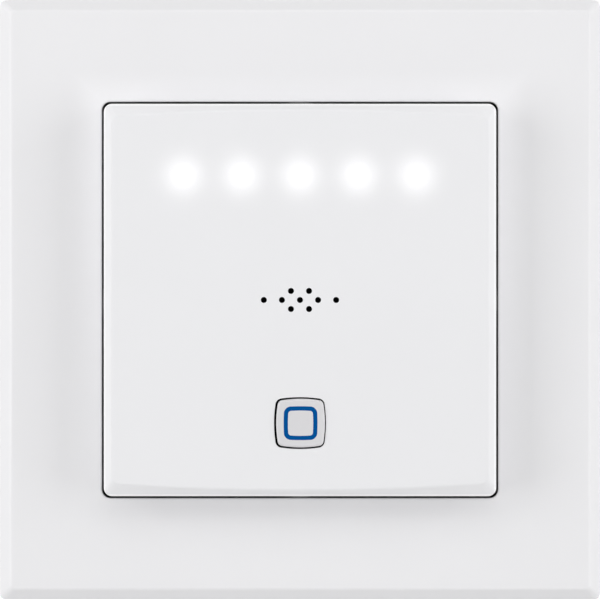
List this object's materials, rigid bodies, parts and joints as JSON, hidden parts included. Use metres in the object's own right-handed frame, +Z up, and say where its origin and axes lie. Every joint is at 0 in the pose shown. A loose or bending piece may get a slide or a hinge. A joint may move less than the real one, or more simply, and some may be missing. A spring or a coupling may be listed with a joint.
{
  "type": "wall-mounted smart home hub",
  "caption": "Flush-mounted white smart home hub with a square trim frame, a raised cover with lights and a vent, and a key with a light ring.",
  "frame": {"origin": "middle of the mounting plate on the wall's surface, centred between the wall box's screws", "axes": "+Z up, +X to the right seen from the room, +Y into the wall; the front faces -Y"},
  "size_m": [0.086, 0.0466, 0.086],
  "materials": {
    "frame_white": "satin gloss white",
    "cover_white": "fine matt white",
    "key_white": "fine matt white",
    "ring_blue": "clear blue inlay",
    "galvanised_steel": "galvanised sheet",
    "black_plastic": "fine matt black",
    "board_green": "solder mask",
    "board_blue": "solder mask",
    "zinc_screws": "zinc plated",
    "led_white": "moulded white",
    "light_box_white": "matt white",
    "diffuser_milky": "milky",
    "tin_plate": "tin plated",
    "plunger_grey": "plain",
    "foam_grey": "closed-cell foam",
    "filter_black": "fine mesh",
    "chip_black": "moulding compound",
    "gold_pins": "gold flash",
    "case_grey": "fine matt grey",
    "ferrite_grey": "ground ferrite",
    "winding_tape": "yellow film tape",
    "capacitor_sleeve": "shrink sleeve",
    "film_box_yellow": "plain box",
    "resistor_green": "lacquered",
    "varistor_blue": "dipped coating",
    "terminal_white": "pale grey",
    "copper_bar": "tinned copper",
    "spring_steel": "spring steel",
    "button_orange": "moulded orange"
  },
  "bodies": {
    "unit": {"frame": "frame_white", "mounting_plate": "galvanised_steel", "cover": "cover_white", "electronics_tray": "black_plastic", "main_board": "board_green", "board_screws": "zinc_screws", "indicator_leds": "led_white", "light_box": "light_box_white", "diffuser_strip": "diffuser_milky", "switch_body": "black_plastic", "switch_cap": "tin_plate", "key_leds": "led_white", "air_sensor_base": "board_green", "air_sensor_can": "tin_plate", "sensor_gasket": "foam_grey", "dust_filter": "filter_black", "radio_board": "board_blue", "radio_shield": "tin_plate", "antenna": "tin_plate", "processor": "chip_black", "processor_leads": "tin_plate", "header_strip": "black_plastic", "header_pins": "gold_pins", "socket_strip": "black_plastic", "power_case": "case_grey", "power_lid": "case_grey", "plate_screws": "zinc_screws", "power_board": "board_green", "transformer_core": "ferrite_grey", "transformer_bobbin": "black_plastic", "transformer_winding": "winding_tape", "bulk_capacitors": "capacitor_sleeve", "input_capacitor": "film_box_yellow", "fuse_resistor": "resistor_green", "varistor": "varistor_blue", "terminal_block": "terminal_white", "terminal_busbars": "copper_bar", "terminal_springs": "spring_steel"},
    "key": {"key_cap": "key_white", "key_light_ring": "ring_blue"},
    "plunger": {"switch_plunger": "plunger_grey"},
    "release_live": {"release_button_live": "button_orange"},
    "release_neutral": {"release_button_neutral": "button_orange"}
  },
  "joints": [
    {"name": "key_press", "type": "slide", "parent": "unit", "child": "key", "axis": [0, 1, 0], "range_m": [0, 0.0005], "stiffness_N_per_m": 400, "springref_m": -0.002},
    {"name": "plunger_press", "type": "slide", "parent": "unit", "child": "plunger", "axis": [0, 1, 0], "range_m": [0, 0.0005]},
    {"name": "release_live_press", "type": "slide", "parent": "unit", "child": "release_live", "axis": [0, -1, 0], "range_m": [0, 0.0007], "stiffness_N_per_m": 800, "springref_m": -0.001},
    {"name": "release_neutral_press", "type": "slide", "parent": "unit", "child": "release_neutral", "axis": [0, -1, 0], "range_m": [0, 0.0007], "stiffness_N_per_m": 800, "springref_m": -0.001}
  ],
  "couplings": [
    {"joint": "plunger_press", "follows": "key_press", "ratio": 1}
  ]
}
